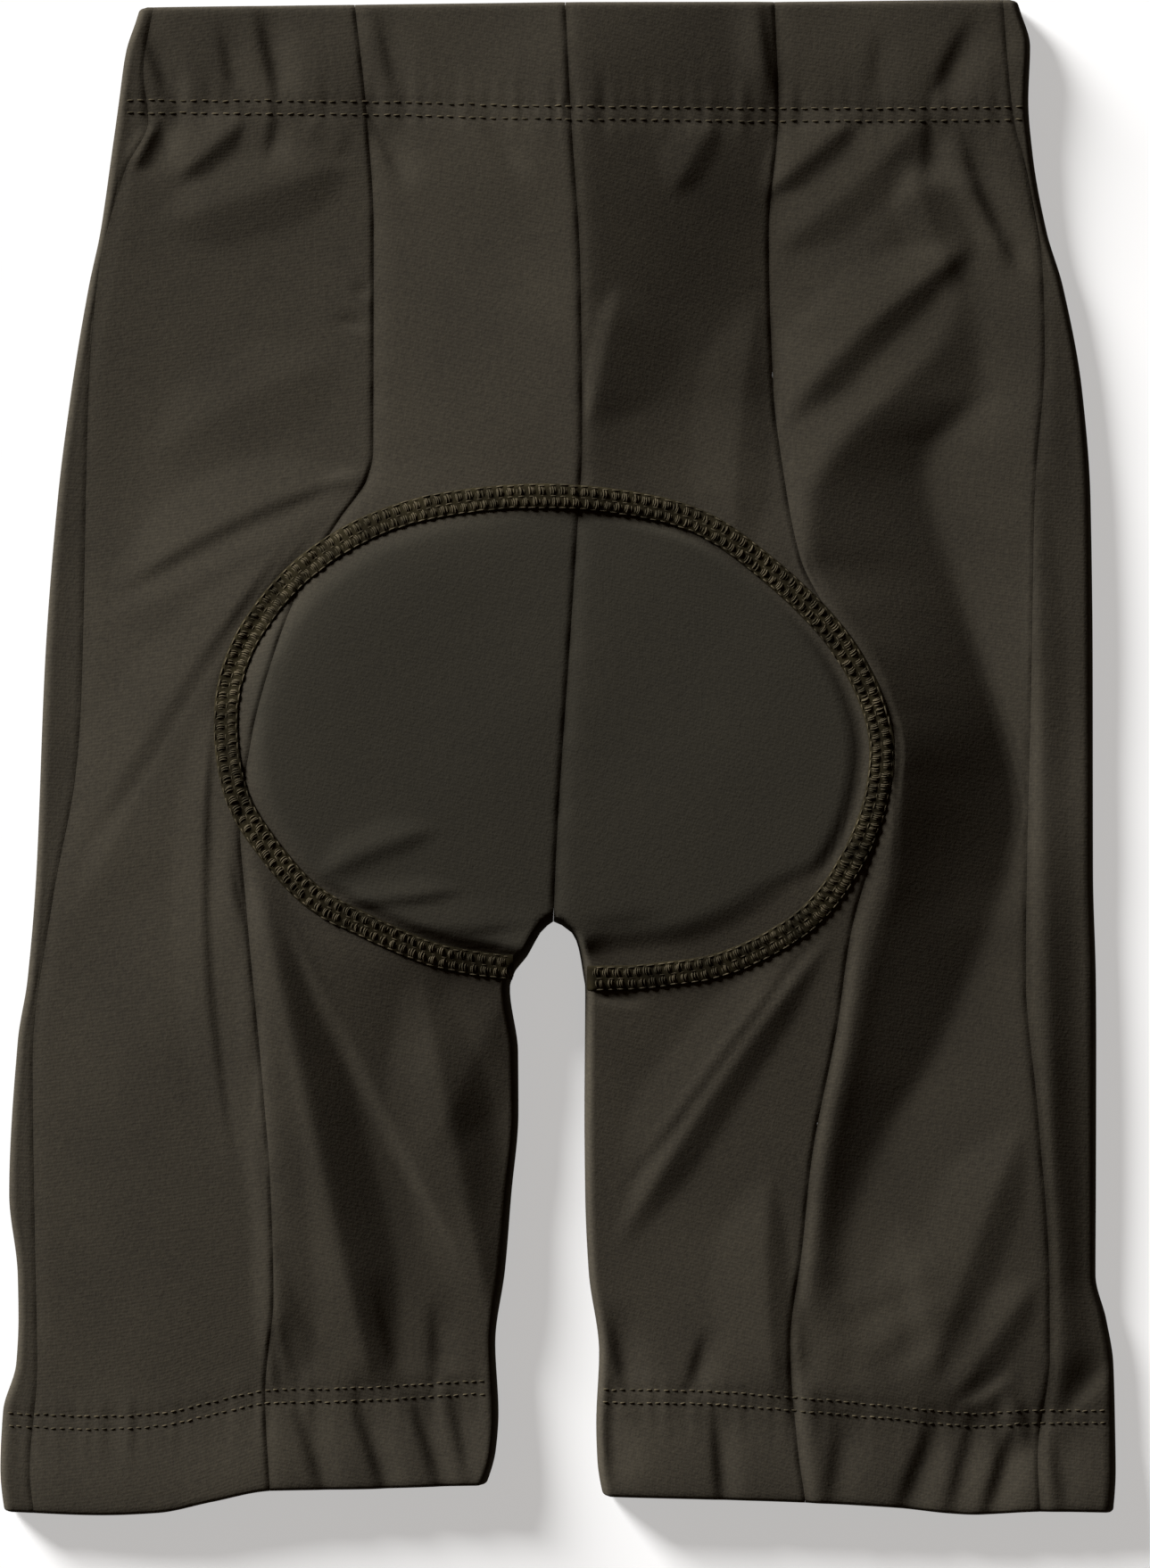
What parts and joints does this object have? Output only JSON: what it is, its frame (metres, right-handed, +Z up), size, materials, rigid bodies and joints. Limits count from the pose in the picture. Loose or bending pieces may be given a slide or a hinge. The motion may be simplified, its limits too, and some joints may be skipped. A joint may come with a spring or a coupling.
{
  "type": "cycling trousers",
  "caption": "Short-legged stretch cycling trousers for a child, with a padded seat, turned elastic waist and turned elastic hems, lying flat with the back uppermost.",
  "frame": {"origin": "middle of the rectangle round the garment, on the plane that it lies on", "axes": "+X to the wearer's right, across the back, +Y from the leg hems towards the waist, +Z up out of the surface that it lies on, through the front to the back"},
  "size_m": [0.3128, 0.4246, 0.0135],
  "materials": {
    "nylon_jersey": "fine knitted nylon with elastane, slight sheen",
    "elastic": "woven elastic, matt",
    "pad_fabric": "brushed knit over foam, matt",
    "thread": "textured polyester thread, matt"
  },
  "bodies": {
    "root": {"back_outer_left": "nylon_jersey", "back_inner_left": "nylon_jersey", "back_inner_right": "nylon_jersey", "back_outer_right": "nylon_jersey", "front_outer_left": "nylon_jersey", "front_inner_left": "nylon_jersey", "front_inner_right": "nylon_jersey", "front_outer_right": "nylon_jersey", "waist_elastic": "elastic", "hem_elastic_left": "elastic", "hem_elastic_right": "elastic", "seat_pad": "pad_fabric", "pad_seam": "thread"}
  },
  "joints": []
}
